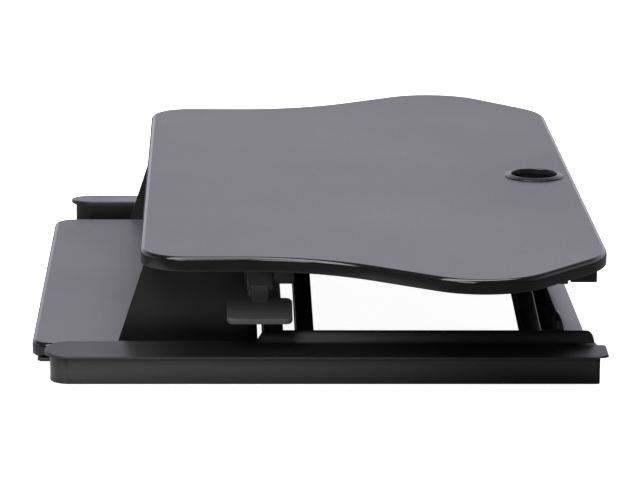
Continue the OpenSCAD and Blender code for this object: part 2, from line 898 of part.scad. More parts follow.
module lever_pins() {
    color(steel)
        for (s = [-1, 1])
            side(s) {
                y_rod(lever_x, lever_z, lever_pin_r, lever_y - housing_w / 2, lever_y + housing_w / 2);
                y_rod(lever_x, lever_z, lever_pin_r + 2, lever_y + housing_w / 2, lever_y + housing_w / 2 + 1.5);
            }
}

hub_w = 12;
paddle_l = 45;
paddle_w = 72;
paddle_t = 7;
paddle_x = 377.9;
paddle_z = lever_z - 35.8;

// Finger paddle, tilted down outwards, on a neck from the pivot hub to its inner edge
module lever() {
    web_top = lever_z - 5;
    neck_y = hub_w / 2 + 4.4;
    root_y = 4;
    difference() {
        union() {
            y_rod(lever_x, lever_z, 7, lever_y - hub_w / 2, lever_y + hub_w / 2);
            xz_plate([
                [lever_x - 7, lever_z],
                [lever_x - 11, lever_z - 26],
                [lever_x - 9, lever_z - 33],
                [lever_x - 1, lever_z - 33],
                [lever_x - 2, lever_z - 26],
                [lever_x + 7, lever_z]
            ], lever_y - root_y, lever_y + root_y);
            intersection() {
                xz_plate([
                    [lever_x - 8, web_top],
                    [lever_x - 11, lever_z - 26],
                    [lever_x - 9, lever_z - 33],
                    [lever_x - 1, lever_z - 33],
                    [lever_x - 2, lever_z - 26],
                    [lever_x + 5.5, web_top]
                ], lever_y - neck_y, lever_y + neck_y);
                yz_plate([
                    [lever_y - neck_y, web_top],
                    [lever_y - neck_y, lever_z - 25],
                    [lever_y - root_y, lever_z - 34],
                    [lever_y + root_y, lever_z - 34],
                    [lever_y + neck_y, lever_z - 25],
                    [lever_y + neck_y, web_top]
                ], lever_x - 14, lever_x + 10);
            }
            translate([paddle_x, fy(lever_y), paddle_z])
                rotate([0, lever_tilt, 0])
                    linear_extrude(paddle_t, center = true)
                        polygon(outline([
                            [paddle_l / 2, -paddle_w / 2, 7],
                            [paddle_l / 2, paddle_w / 2, 7],
                            [-paddle_l / 2, paddle_w / 2, 7],
                            [-paddle_l / 2, -paddle_w / 2, 7]
                        ]));
        }
        y_rod(lever_x, lever_z, lever_pin_r + run_gap, lever_y - housing_w, lever_y + housing_w);
    }
}

module left_lever() color(black) side(-1) lever();
module right_lever() color(black) side(1) lever();

coil_turns = 3;
coil_pitch = 1.1;
coil_r = 4.4;
wire_r = 0.5;
coil_steps = 20;

// Points of one cross-section of the coil, at step i
function coil_ring(i) =
    let (a = 360 * i / coil_steps, y = coil_pitch * i / coil_steps)
    [for (k = [0:7])
        let (r = coil_r + wire_r * cos(45 * k))
        [r * cos(a), y + wire_r * sin(45 * k), r * sin(a)]];

// Close-wound return spring round a lever pin
module coil() {
    n = coil_turns * coil_steps;
    points = [for (i = [0:n]) each coil_ring(i)];
    sides = [for (i = [0:n - 1]) for (k = [0:7])
        [i * 8 + k, i * 8 + (k + 1) % 8, (i + 1) * 8 + (k + 1) % 8, (i + 1) * 8 + k]];
    ends = [[7, 6, 5, 4, 3, 2, 1, 0], [for (k = [0:7]) n * 8 + k]];
    polyhedron(points, concat(sides, ends), convexity = 6);
}

module lever_springs() {
    color(steel)
        for (s = [-1, 1])
            side(s)
                translate([lever_x, fy(lever_y + hub_w / 2 + 0.9), lever_z]) coil();
}

// Quarter bend in the cable's plane, about centre [x, y], from angle a0
module cable_bend_at(x, y, a0) {
    translate([x, fy(y), cable_z])
        rotate([0, 0, a0])
            rotate_extrude(angle = 90)
                translate([cable_bend, 0]) circle(r = cable_r, $fn = 24);
}

// Outer cable from a lever housing along the front, across, and back to the anchor
module release_cable(x_start, x_turn, y_back) {
    dir = x_start > x_turn ? 1 : -1;
    x_rod(cable_run_y, cable_z, cable_r, min(x_start, x_turn + dir * cable_bend),
        max(x_start, x_turn + dir * cable_bend));
    cable_bend_at(x_turn + dir * cable_bend, cable_run_y + cable_bend, dir > 0 ? 180 : 270);
    y_rod(x_turn, cable_z, cable_r, cable_run_y + cable_bend, y_back - cable_bend);
    cable_bend_at(x_turn - cable_bend, y_back - cable_bend, 0);
    x_rod(y_back, cable_z, cable_r, anchor_x + anchor_t, x_turn - cable_bend);
}

module left_release_cable() {
    color(rubber) release_cable(-housing_x[0], cable_turn_x[0], cable_back_y[0]);
}

module right_release_cable() {
    color(rubber) release_cable(housing_x[0], cable_turn_x[1], cable_back_y[1]);
}

left_foot_channel();
right_foot_channel();
left_foot_cover();
right_foot_cover();
foot_pads();
front_base_beam();
rear_base_beam();
front_hinge_bracket();
rear_hinge_bracket();
lower_pivot_pins();
base_screws();
front_inner_arm();
rear_inner_arm();
center_tube();
center_tube_caps();
inner_arm_stretcher();
inner_arm_bushes();
upper_slide_pins();
front_outer_arm();
rear_outer_arm();
outer_arm_stretcher();
outer_arm_bushes();
lower_slide_pins();
front_lower_slide();
rear_lower_slide();
front_upper_slide();
rear_upper_slide();
spring_carriage();
front_gas_cylinder();
rear_gas_cylinder();
worktop_board();
worktop_edge_band();
cable_grommet();
front_upper_track();
rear_upper_track();
front_top_bracket();
rear_top_bracket();
upper_pivot_pins();
left_hanger_plate();
right_hanger_plate();
keyboard_tray();
tray_edge_band();
left_tray_runner();
right_tray_runner();
spring_anchor();
front_gas_rod();
rear_gas_rod();
gas_rod_nuts();
left_lever_housing();
right_lever_housing();
lever_pins();
lever_springs();
left_release_cable();
right_release_cable();
worktop_screws();
left_lever();
right_lever();
left_release_bar();
right_release_bar();
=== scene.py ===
import json
import math

import bmesh
import bpy
from mathutils import Matrix, Vector


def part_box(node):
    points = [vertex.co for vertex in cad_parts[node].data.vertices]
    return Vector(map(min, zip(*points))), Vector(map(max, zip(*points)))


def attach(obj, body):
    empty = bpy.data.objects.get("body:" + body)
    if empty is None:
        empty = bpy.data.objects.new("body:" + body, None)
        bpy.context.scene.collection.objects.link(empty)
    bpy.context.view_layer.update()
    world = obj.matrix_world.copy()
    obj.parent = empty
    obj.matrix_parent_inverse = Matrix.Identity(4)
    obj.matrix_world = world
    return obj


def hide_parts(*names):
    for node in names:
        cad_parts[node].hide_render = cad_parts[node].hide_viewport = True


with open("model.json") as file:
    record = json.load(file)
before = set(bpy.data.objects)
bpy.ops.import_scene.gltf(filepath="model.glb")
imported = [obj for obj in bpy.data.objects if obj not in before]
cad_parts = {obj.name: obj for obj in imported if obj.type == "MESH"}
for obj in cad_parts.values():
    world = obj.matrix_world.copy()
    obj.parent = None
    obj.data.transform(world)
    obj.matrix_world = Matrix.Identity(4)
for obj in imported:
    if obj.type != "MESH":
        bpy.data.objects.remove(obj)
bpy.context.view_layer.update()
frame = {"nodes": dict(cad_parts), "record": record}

MM = 0.001
ARC_STEPS = 16
CIRCLE_STEPS = 96

# Worktop outline, measured from the middle and from the front edge
TOP_HALF_FRONT = 417 * MM
TOP_SWEEP_Y = 192 * MM
TOP_WIDE_OUT = 130 * MM
TOP_WIDE_Y = 382 * MM
TOP_REAR_IN = 17 * MM
TOP_RADII = (50 * MM, 240 * MM, 90 * MM, 90 * MM)
TRAY_RADII = (24 * MM, 6 * MM)

# Edge bands: width below the lip, upper round, lip thickness, lower round and joint gap
BAND_W = 4 * MM
EDGE_ROUND = 5.2 * MM
EDGE_LIP = 3 * MM
LOWER_ROUND = 1.5 * MM
BAND_GAP = 0.1 * MM
EDGE_GROOVE = 0.5 * MM

# Squeeze levers: hub radius, bore and half width, and the paddle's place from the pin
HUB_R = 7 * MM
HUB_BORE_R = 3.05 * MM
HUB_HALF = 6 * MM
PADDLE_OUT = 9.9 * MM
PADDLE_DROP = 35.8 * MM
PADDLE_TILT_DEG = 19


# ---------- shader helpers ----------

class Shader:
    """A node material, built by adding nodes and setting or linking their inputs."""

    def __init__(self, name):
        self.material = bpy.data.materials.new(name)
        self.material.use_nodes = True
        self.tree = self.material.node_tree
        self.bsdf = self.tree.nodes["Principled BSDF"]
        self.place = self.add("ShaderNodeTexCoord").outputs["Object"]

    def add(self, kind, inputs=None, **settings):
        node = self.tree.nodes.new(kind)
        for key, value in settings.items():
            setattr(node, key, value)
        for key, value in (inputs or {}).items():
            self.put(node, key, value)
        return node

    def put(self, node, key, value):
        if isinstance(value, bpy.types.NodeSocket):
            self.tree.links.new(value, node.inputs[key])
        else:
            node.inputs[key].default_value = value

    def set(self, **inputs):
        for key, value in inputs.items():
            self.put(self.bsdf, key.replace("_", " "), value)

    def noise(self, per_metre, detail=3.0, stretch=None):
        where = self.place
        if stretch:
            where = self.add("ShaderNodeMapping", {"Vector": where, "Scale": stretch}).outputs[0]
        inputs = {"Vector": where, "Scale": per_metre, "Detail": detail}
        return self.add("ShaderNodeTexNoise", inputs).outputs["Fac"]

    def cells(self, per_metre):
        inputs = {"Vector": self.place, "Scale": per_metre}
        return self.add("ShaderNodeTexVoronoi", inputs, feature="F1").outputs["Distance"]

    def spread(self, value, low, high, from_low=0.3, from_high=0.7):
        inputs = {"Value": value, "From Min": from_low, "From Max": from_high,
                  "To Min": low, "To Max": high}
        return self.add("ShaderNodeMapRange", inputs).outputs["Result"]

    def mix(self, fac, a, b):
        node = self.add("ShaderNodeMix", data_type="RGBA")
        self.put(node, 0, fac)
        self.put(node, 6, a)
        self.put(node, 7, b)
        return node.outputs[2]

    def bump(self, height, distance, strength=1.0):
        inputs = {"Height": height, "Distance": distance, "Strength": strength}
        return self.add("ShaderNodeBump", inputs).outputs["Normal"]

    def edges(self):
        """1 along worn outer edges, 0 elsewhere."""
        point = self.add("ShaderNodeNewGeometry").outputs["Pointiness"]
        return self.spread(point, 0.0, 1.0, 0.53, 0.62)


def grey(value, tint=(1.0, 1.0, 1.0)):
    return (value * tint[0], value * tint[1], value * tint[2], 1.0)


def powder_coat():
    """Satin black powder coat with orange peel and rubbed edges."""
    s = Shader("powder_coat")
    broad = s.noise(7.0, 2.0)
    peel = s.noise(700.0, 2.0)
    base = s.mix(broad, grey(0.006), grey(0.010))
    worn = s.mix(s.edges(), base, grey(0.035))
    s.set(Base_Color=worn, Metallic=0.0, Specular_IOR_Level=0.42,
          Roughness=s.spread(broad, 0.24, 0.34), Normal=s.bump(peel, 0.00010, 0.3))
    return s.material


def laminate():
    """Black laminate with a fine pebbled grain that scatters the light from the room."""
    s = Shader("laminate")
    pebble = s.cells(720.0)
    speck = s.noise(1500.0, 2.0)
    cloud = s.noise(3.0, 3.0)
    tone = s.mix(s.spread(pebble, 0.0, 1.0, 0.1, 0.6), grey(0.040, (1.0, 0.98, 1.10)),
                 grey(0.075, (1.0, 0.98, 1.09)))
    tone = s.mix(s.spread(speck, 0.0, 0.5, 0.45, 0.75), tone, grey(0.13, (1.0, 0.98, 1.08)))
    s.set(Base_Color=tone, Specular_IOR_Level=0.5,
          Roughness=s.spread(cloud, 0.44, 0.52), Normal=s.bump(pebble, 0.00018, 0.45))
    return s.material


def edge_gloss():
    """Glossy black edge band with a slight ripple along it."""
    s = Shader("edge_gloss")
    ripple = s.noise(60.0, 1.0, (1.0, 1.0, 0.1))
    fine = s.noise(900.0, 2.0)
    base = s.mix(ripple, grey(0.004), grey(0.007))
    base = s.mix(s.edges(), base, grey(0.02))
    s.set(Base_Color=base, Specular_IOR_Level=0.4, Roughness=s.spread(fine, 0.08, 0.13),
          Normal=s.bump(ripple, 0.00020, 0.25))
    return s.material


def moulded(name, shade, rough, grain_per_metre=1300.0):
    """Fine-textured moulded plastic."""
    s = Shader(name)
    grain = s.noise(grain_per_metre, 3.0)
    broad = s.noise(9.0, 2.0)
    base = s.mix(broad, grey(shade * 0.85), grey(shade * 1.15))
    base = s.mix(s.edges(), base, grey(shade * 2.2))
    s.set(Base_Color=base, Specular_IOR_Level=0.45, Roughness=s.spread(broad, rough - 0.04, rough + 0.05),
          Normal=s.bump(grain, 0.00010, 0.4))
    return s.material


def zinc_steel():
    """Zinc-plated steel with fine turning marks."""
    s = Shader("zinc_steel")
    marks = s.noise(260.0, 4.0, (1.0, 14.0, 1.0))
    broad = s.noise(30.0, 3.0)
    base = s.mix(broad, grey(0.42, (0.98, 1.0, 1.04)), grey(0.58, (1.0, 1.0, 0.98)))
    s.set(Base_Color=base, Metallic=1.0, Roughness=s.spread(marks, 0.26, 0.44),
          Normal=s.bump(marks, 0.00004, 0.5))
    return s.material


def black_steel():
    """Black oxide steel with a slight oily sheen."""
    s = Shader("black_steel")
    broad = s.noise(40.0, 3.0)
    base = s.mix(broad, grey(0.020), grey(0.045, (1.0, 0.98, 0.95)))
    s.set(Base_Color=base, Metallic=0.8, Roughness=s.spread(broad, 0.38, 0.52),
          Normal=s.bump(s.noise(500.0, 3.0), 0.00004, 0.5))
    return s.material


def chrome_rod():
    """Ground and chromed piston rod."""
    s = Shader("chrome_rod")
    marks = s.noise(500.0, 3.0, (0.05, 1.0, 1.0))
    base = s.mix(marks, grey(0.70), grey(0.82))
    s.set(Base_Color=base, Metallic=1.0, Roughness=s.spread(marks, 0.06, 0.14),
          Normal=s.bump(marks, 0.00001, 0.4))
    return s.material


def rubber_pad():
    """Matt rubber with dust-grey scuffs."""
    s = Shader("rubber_pad")
    scuff = s.noise(120.0, 5.0)
    grain = s.noise(1600.0, 2.0)
    base = s.mix(s.spread(scuff, 0.0, 0.5, 0.55, 0.8), grey(0.012), grey(0.05))
    s.set(Base_Color=base, Specular_IOR_Level=0.25, Roughness=s.spread(scuff, 0.75, 0.9),
          Normal=s.bump(grain, 0.00015, 0.5))
    return s.material


def natural_nylon():
    """Off-white nylon, a little waxy."""
    s = Shader("natural_nylon")
    broad = s.noise(60.0, 4.0)
    base = s.mix(broad, (0.62, 0.60, 0.54, 1.0), (0.74, 0.72, 0.66, 1.0))
    s.set(Base_Color=base, Subsurface_Weight=0.15, Roughness=s.spread(broad, 0.38, 0.52),
          Normal=s.bump(s.noise(900.0, 2.0), 0.00006, 0.5))
    s.bsdf.inputs["Subsurface Radius"].default_value = (0.002, 0.002, 0.0015)
    return s.material


def cable_jacket():
    """Smooth black cable jacket."""
    s = Shader("cable_jacket")
    fine = s.noise(800.0, 2.0)
    base = s.mix(fine, grey(0.010), grey(0.018))
    s.set(Base_Color=base, Specular_IOR_Level=0.4, Roughness=s.spread(fine, 0.38, 0.5),
          Normal=s.bump(fine, 0.00005, 0.4))
    return s.material


MATERIALS = {
    "black_paint": powder_coat(),
    "cover_plastic": moulded("cover_plastic", 0.012, 0.36),
    # Lever plastic is lighter than the cover plastic: partly its own grey, partly painted light that
    # brightens the paddle top, which sits in the worktop's shade.
    "lever_plastic": moulded("lever_plastic", 0.07, 0.38),
    "black_steel": black_steel(),
    "steel": zinc_steel(),
    "rod_chrome": chrome_rod(),
    "rubber": rubber_pad(),
    "nylon": natural_nylon(),
    "cable_jacket": cable_jacket(),
    "laminate": laminate(),
    "edge_band": edge_gloss(),
    "grommet_plastic": moulded("grommet_plastic", 0.010, 0.24, 900.0),
}


# ---------- mesh helpers ----------

def arc_points(before, corner, after, radius):
    """Points of the arc that rounds a corner."""
    a = (before - corner).normalized()
    b = (after - corner).normalized()
    half = a.angle(b) / 2
    centre = corner + (a + b).normalized() * radius / math.sin(half)
    start = corner + a * radius / math.tan(half) - centre
    turn = math.copysign(math.pi - 2 * half, a.y * b.x - a.x * b.y)
    return [centre + Matrix.Rotation(turn * i / ARC_STEPS, 2) @ start for i in range(ARC_STEPS + 1)]


def outline(corners, inset=0.0):
    """Rounded outline from (point, radius) corners, anticlockwise, moved inwards by inset."""
    moved = []
    count = len(corners)
    for i, (q, radius) in enumerate(corners):
        p, s = corners[i - 1][0], corners[(i + 1) % count][0]
        d1, d2 = (q - p).normalized(), (s - q).normalized()
        n1, n2 = Vector((-d1.y, d1.x)), Vector((-d2.y, d2.x))
        convex = d1.x * d2.y - d1.y * d2.x > 0
        shift = (n1 + n2) * inset / (1 + n1.dot(n2))
        moved.append((q + shift, radius - inset if convex else radius + inset))
    points = []
    for i, (q, radius) in enumerate(moved):
        points += arc_points(moved[i - 1][0], q, moved[(i + 1) % count][0], max(radius, 0.2 * MM))
    return points


def both_sides(half):
    """A right half of corners closed by its mirror image."""
    return half + [(Vector((-p.x, p.y)), r) for p, r in reversed(half)]


def new_piece(name, mesh_data, body, slot, nodes=(), smooth_deg=40):
    """An object from a bmesh, riding on a body, with its slot's material."""
    mesh = bpy.data.meshes.new(name)
    bmesh.ops.recalc_face_normals(mesh_data, faces=mesh_data.faces)
    mesh_data.to_mesh(mesh)
    mesh_data.free()
    piece = bpy.data.objects.new(name, mesh)
    bpy.context.scene.collection.objects.link(piece)
    mesh.materials.append(MATERIALS[slot])
    smooth(mesh, smooth_deg)
    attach(piece, body)
    if nodes:
        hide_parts(*nodes)
    return piece


def smooth(mesh, degrees):
    """Smooth faces, with edges sharper than this angle kept crisp."""
    mesh.polygons.foreach_set("use_smooth", [True] * len(mesh.polygons))
    mesh.set_sharp_from_angle(angle=math.radians(degrees))


def add_loops(bm, loops):
    """Quads between successive closed loops of points; returns the loops of vertices."""
    rows = [[bm.verts.new(p) for p in loop] for loop in loops]
    for a, b in zip(rows, rows[1:]):
        count = len(a)
        for i in range(count):
            j = (i + 1) % count
            bm.faces.new((a[i], a[j], b[j], b[i]))
    return rows


def cap_ends(bm, rows):
    bm.faces.new(rows[0])
    bm.faces.new(list(reversed(rows[-1])))


def circle_turns(steps=CIRCLE_STEPS):
    return [math.tau * i / steps for i in range(steps)]


def quarter(steps):
    """(1 - sine, 1 - cosine) pairs round a quarter turn, for rounded profiles."""
    turns = [math.radians(90 * i / steps) for i in range(steps + 1)]
    return [(1 - math.sin(a), 1 - math.cos(a)) for a in turns]


def fill(bm, *rows):
    """A flat face inside the first loop, with the others as holes."""
    edges = []
    for row in rows:
        for i, v in enumerate(row):
            w = row[(i + 1) % len(row)]
            edges.append(bm.edges.get((v, w)) or bm.edges.new((v, w)))
    bmesh.ops.triangle_fill(bm, use_beauty=True, use_dissolve=False, edges=edges)


def at_height(points, z):
    return [(p.x, p.y, z) for p in points]


def board(name, corners, z0, z1, body, nodes, hole=None):
    """Flat board, rebated under the lip of its edge band, with an optional (centre, radius) hole."""
    bm = bmesh.new()
    steps = [(BAND_W, z0), (BAND_W, z1 - EDGE_LIP), (EDGE_ROUND, z1 - EDGE_LIP), (EDGE_ROUND, z1)]
    outer = add_loops(bm, [at_height(outline(corners, d), z) for d, z in steps])
    rows = [[outer[0]], [outer[-1]]]
    if hole:
        centre, radius = hole
        ring = [centre + Vector((math.cos(a), math.sin(a))) * radius for a in circle_turns()]
        inner = add_loops(bm, [at_height(ring, z0), at_height(ring, z1)])
        rows[0].append(inner[0])
        rows[1].append(inner[1])
    for level in rows:
        fill(bm, *level)
    return new_piece(name, bm, body, "laminate", nodes, 30)


def edge_strip(name, corners, z0, z1, body, nodes):
    """Edge band with a round lip over the board and a smaller lower edge, as one closed loop."""
    inner = EDGE_ROUND - BAND_GAP
    back = BAND_W - BAND_GAP / 2
    step = z1 - EDGE_LIP - BAND_GAP
    profile = [(inner, z1 - EDGE_GROOVE)]
    profile += [(inner * s, z1 - inner * c) for s, c in quarter(14)]
    profile += [(LOWER_ROUND * c, z0 + LOWER_ROUND * s) for s, c in quarter(4)]
    profile += [(back, z0), (back, step), (inner, step)]
    bm = bmesh.new()
    rows = add_loops(bm, [at_height(outline(corners, d), z) for d, z in profile])
    first, last = rows[0], rows[-1]
    for i in range(len(first)):
        j = (i + 1) % len(first)
        bm.faces.new((last[i], last[j], first[j], first[i]))
    return new_piece(name, bm, body, "edge_band", nodes, 50)


def lathe(name, profile, centre, body, slot, nodes):
    """Ring from a closed (radius, z) profile turned about a vertical axis."""
    bm = bmesh.new()
    loops = []
    for r, z in profile + profile[:1]:
        loops.append([(centre.x + r * math.cos(a), centre.y + r * math.sin(a), z)
                      for a in circle_turns()])
    add_loops(bm, loops)
    bmesh.ops.remove_doubles(bm, verts=bm.verts, dist=1e-6)
    return new_piece(name, bm, body, slot, nodes, 35)


# ---------- worktop and tray ----------

top_low, top_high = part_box("worktop_edge_band")
front = top_low.y
top_corners = both_sides([
    (Vector((TOP_HALF_FRONT, front)), TOP_RADII[0]),
    (Vector((TOP_HALF_FRONT, front + TOP_SWEEP_Y)), TOP_RADII[1]),
    (Vector((TOP_HALF_FRONT + TOP_WIDE_OUT, front + TOP_WIDE_Y)), TOP_RADII[2]),
    (Vector((TOP_HALF_FRONT - TOP_REAR_IN, top_high.y)), TOP_RADII[3]),
])
grommet_low, grommet_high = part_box("cable_grommet")
grommet_centre = Vector(((grommet_low.x + grommet_high.x) / 2, (grommet_low.y + grommet_high.y) / 2))
grommet_r = (grommet_high.x - grommet_low.x) / 2
SLEEVE_R = grommet_r - 4.95 * MM
BORE_R = grommet_r - 8.4 * MM

board("worktop_surface", top_corners, top_low.z, top_high.z, "table", ["worktop_board"],
      (grommet_centre, SLEEVE_R))
edge_strip("worktop_edge", top_corners, top_low.z, top_high.z, "table", ["worktop_edge_band"])

tray_low, tray_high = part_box("tray_edge_band")
tray_corners = both_sides([
    (Vector((tray_high.x, tray_low.y)), TRAY_RADII[0]),
    (Vector((tray_high.x, tray_high.y)), TRAY_RADII[1]),
])
board("tray_surface", tray_corners, tray_low.z, tray_high.z, "table", ["keyboard_tray"])
edge_strip("tray_edge", tray_corners, tray_low.z, tray_high.z, "table", ["tray_edge_band"])


def grommet():
    """Ring with a coned flange on a low outer wall, a round lip and a stepped sleeve."""
    top = grommet_high.z
    face = top_high.z
    lip = 0.8 * MM
    crest = 1.5 * MM
    profile = [(BORE_R, grommet_low.z), (SLEEVE_R, grommet_low.z), (SLEEVE_R, face), (grommet_r, face)]
    for i in range(5):
        a = math.radians(90 * i / 4)
        profile.append((grommet_r - lip + lip * math.cos(a), face + 1.0 * MM + lip * math.sin(a)))
    profile.append((BORE_R + 3.6 * MM, top - 0.2 * MM))
    for i in range(7):
        a = math.radians(90 + 90 * i / 6)
        profile.append((BORE_R + 2.4 * MM + crest * math.cos(a), top - crest + crest * math.sin(a)))
    profile += [(BORE_R + 0.2 * MM, face - 1 * MM), (BORE_R, face - 3 * MM),
                (BORE_R + 0.7 * MM, face - 3.4 * MM), (BORE_R + 0.7 * MM, face - 9 * MM),
                (BORE_R, face - 9.4 * MM)]
    return lathe("grommet_ring", profile, grommet_centre, "table", "grommet_plastic", ["cable_grommet"])


grommet()


# ---------- foot covers ----------

def ease(t):
    t = min(1.0, max(0.0, t))
    return t * t * (3 - 2 * t)


def spaced(start, end, count):
    """Evenly spaced values from just past start up to end."""
    return [start + (end - start) * i / count for i in range(1, count + 1)]


def foot_cover(side):
    """Domed cover with a half-round tip, a raised shoulder on the inner side and a rear tongue."""
    node = "right_foot_cover" if side > 0 else "left_foot_cover"
    low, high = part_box(node)
    x_in, x_out = min(abs(low.x), abs(high.x)), max(abs(low.x), abs(high.x))
    tip_r = (x_out - x_in) / 2
    mid = (x_in + x_out) / 2
    floor_z = low.z
    edge_h = 1.9 * MM
    dome = 4.0 * MM
    rise = high.z - floor_z - edge_h - dome - 0.1 * MM
    round_r = 1.6 * MM
    tongue_y = high.y - 13 * MM
    inner_step, outer_step = 13 * MM, 5 * MM
    inner_r, outer_r = 4 * MM, 7 * MM
    shoulder = (low.y + 231 * MM, tongue_y + 1 * MM)
    ramps = (11 * MM, 9 * MM)
    slope_end, slope_w = x_in + 12 * MM, 9.5 * MM
    narrowing = 3.8 * MM

    def rounded(y, r):
        k = y - (high.y - r)
        return r - math.sqrt(max(0.0, r ** 2 - k ** 2)) if k > 0 else 0.0

    def limits(y):
        if y < low.y + tip_r:
            w = math.sqrt(max(0.0, tip_r ** 2 - (low.y + tip_r - y) ** 2))
            return mid - w, mid + w
        step = ease((y - tongue_y) / narrowing)
        return (x_in + inner_step * step + rounded(y, inner_r),
                x_out - outer_step * step - rounded(y, outer_r))

    def border(x, y):
        if y < low.y + tip_r:
            return max(0.0, tip_r - math.hypot(x - mid, low.y + tip_r - y))
        a, b = limits(y)
        return max(0.0, min(x - a, b - x, high.y - y))

    def height(x, y):
        z = floor_z + edge_h + dome * (x_out - x) / (x_out - x_in)
        behind = min(1.0, max(0.0, (y - shoulder[1] + ramps[1]) / ramps[1]))
        along = min(ease((y - shoulder[0]) / ramps[0]), math.sqrt(1 - behind ** 2))
        z += rise * along * ease((slope_end - x) / slope_w)
        d = border(x, y)
        if d < round_r:
            z -= round_r - math.sqrt(max(0.0, round_r ** 2 - (round_r - d) ** 2))
        return z

    ys = [low.y + tip_r * (1 - math.cos(math.radians(90 * i / 24))) for i in range(1, 24)]
    ys += [low.y + tip_r] + spaced(low.y + tip_r, shoulder[0], 10)
    ys += spaced(shoulder[0], shoulder[0] + ramps[0], 8)
    ys += spaced(shoulder[0] + ramps[0], shoulder[1] - ramps[1], 12)
    ys += [shoulder[1] - ramps[1] * (1 - math.sin(math.radians(90 * i / 12))) for i in range(1, 13)]
    ys += spaced(tongue_y, tongue_y + narrowing, 8)[2:]
    ys += [high.y - outer_r * math.cos(math.radians(88 * i / 12)) for i in range(13)]
    across = [0.0, 0.012, 0.03, 0.05] + spaced(0.05, 0.25, 10) + spaced(0.25, 0.95, 8)
    across += [0.97, 0.988, 1.0]
    bm = bmesh.new()
    loops = []
    for y in ys:
        a, b = limits(y)
        xs = [a + (b - a) * u for u in across]
        top = [(side * x, y, height(x, y)) for x in xs]
        loops.append([(side * xs[0], y, floor_z)] + top + [(side * xs[-1], y, floor_z)])
    cap_ends(bm, add_loops(bm, loops))
    name = "right_cover" if side > 0 else "left_cover"
    return new_piece(name, bm, "base", "cover_plastic", [node], 38)


foot_cover(1)
foot_cover(-1)


# ---------- levers ----------

JOINTS = frame["record"]["behaviour"]["joints"]
JOINT_PLACES = {joint["name"]: joint["pos_m"] for joint in JOINTS if "pos_m" in joint}


def rect_corners(hx, hy, r):
    return both_sides([(Vector((hx, -hy)), r), (Vector((hx, hy)), r)])


def tilt_about(point, degrees, side):
    turn = Matrix.Rotation(math.radians(degrees), 4, "Y")
    mirror = Matrix.Scale(side, 4, (1, 0, 0)) if side < 0 else Matrix.Identity(4)
    return mirror @ Matrix.Translation(point) @ turn


def paddle_part(bm, centre, side):
    """Finger paddle: a rounded slab with soft edges and a shallow finger hollow below."""
    long_x, wide_y, thick = 45 * MM, 72 * MM, 7 * MM
    corners = rect_corners(long_x / 2, wide_y / 2, 7 * MM)
    soft = 2 * MM
    hollow_z = -thick / 2 + 1.2 * MM
    profile = [(soft * s, thick / 2 - soft * c) for s, c in quarter(6)]
    profile += [(soft * c, -thick / 2 + soft * s) for s, c in quarter(6)]
    place = tilt_about(centre, PADDLE_TILT_DEG, side)
    loops = [[place @ Vector((p.x, p.y, z)) for p in outline(corners, d)] for d, z in profile]
    hollow = [Vector((p.x * 0.6, p.y * 0.8, hollow_z)) for p in outline(corners, soft)]
    loops.append([place @ p for p in hollow])
    cap_ends(bm, add_loops(bm, loops))


def neck_part(bm, x_hub, mid_y, z_hub, side):
    """Neck from the hub down to the paddle's inner edge, wide above and narrow below."""
    # Each station: height and outward shift from the pin, then half sizes along x and y
    stations = [
        (-33.5 * MM, -5.0 * MM, 4.0 * MM, 3.8 * MM),
        (-31 * MM, -5.5 * MM, 4.2 * MM, 5.4 * MM),
        (-28 * MM, -6.0 * MM, 4.4 * MM, 8.0 * MM),
        (-25 * MM, -6.2 * MM, 4.6 * MM, 9.9 * MM),
        (-22 * MM, -5.4 * MM, 4.9 * MM, 10.3 * MM),
        (-14 * MM, -3.4 * MM, 5.7 * MM, 10.3 * MM),
        (-6 * MM, -1.4 * MM, 6.4 * MM, 10.3 * MM),
    ]
    loops = []
    for dz, dx, hx, hy in stations:
        section = outline(rect_corners(hx, hy, 2 * MM))
        loops.append([(side * (x_hub + dx + p.x), mid_y + p.y, z_hub + dz) for p in section])
    cap_ends(bm, add_loops(bm, loops))


def hub_part(bm, x_hub, mid_y, z_hub, side):
    """Hub round the lever pin, with its bore and chamfered ends."""
    chamfer = 0.6 * MM
    profile = [
        (HUB_BORE_R, -HUB_HALF), (HUB_R - chamfer, -HUB_HALF), (HUB_R, -HUB_HALF + chamfer),
        (HUB_R, HUB_HALF - chamfer), (HUB_R - chamfer, HUB_HALF), (HUB_BORE_R, HUB_HALF),
    ]
    loops = []
    for r, dy in profile + profile[:1]:
        loops.append([(side * x_hub + r * math.cos(a), mid_y + dy, z_hub + r * math.sin(a))
                      for a in circle_turns(48)])
    add_loops(bm, loops)


def lever(side):
    """Squeeze lever hung on its pin, whose place comes from the lever's own joint."""
    node = "right_lever" if side > 0 else "left_lever"
    low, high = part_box(node)
    bm = bmesh.new()
    mid_y = (low.y + high.y) / 2
    x_hub = abs(JOINT_PLACES[node + "_squeeze"][0])
    z_hub = high.z - HUB_R
    paddle_part(bm, Vector((x_hub + PADDLE_OUT, mid_y, z_hub - PADDLE_DROP)), side)
    neck_part(bm, x_hub, mid_y, z_hub, side)
    hub_part(bm, x_hub, mid_y, z_hub, side)
    bmesh.ops.remove_doubles(bm, verts=bm.verts, dist=1e-6)
    name = "right_squeeze_lever" if side > 0 else "left_squeeze_lever"
    return new_piece(name, bm, node, "lever_plastic", [node], 40)


lever(1)
lever(-1)


# ---------- CAD nodes that keep their own shape ----------

BEVEL_MM = {
    "left_foot_channel": 3.0, "right_foot_channel": 3.0,
    "front_base_beam": 0.5, "rear_base_beam": 0.5,
    "front_inner_arm": 1.2, "rear_inner_arm": 1.2, "front_outer_arm": 1.2, "rear_outer_arm": 1.2,
    "left_hanger_plate": 0.6, "right_hanger_plate": 0.6,
    "left_lever_housing": 0.8, "right_lever_housing": 0.8,
}
DEFAULT_BEVEL_MM = 0.35
NO_BEVEL = {"lever_springs", "left_release_cable", "right_release_cable"}


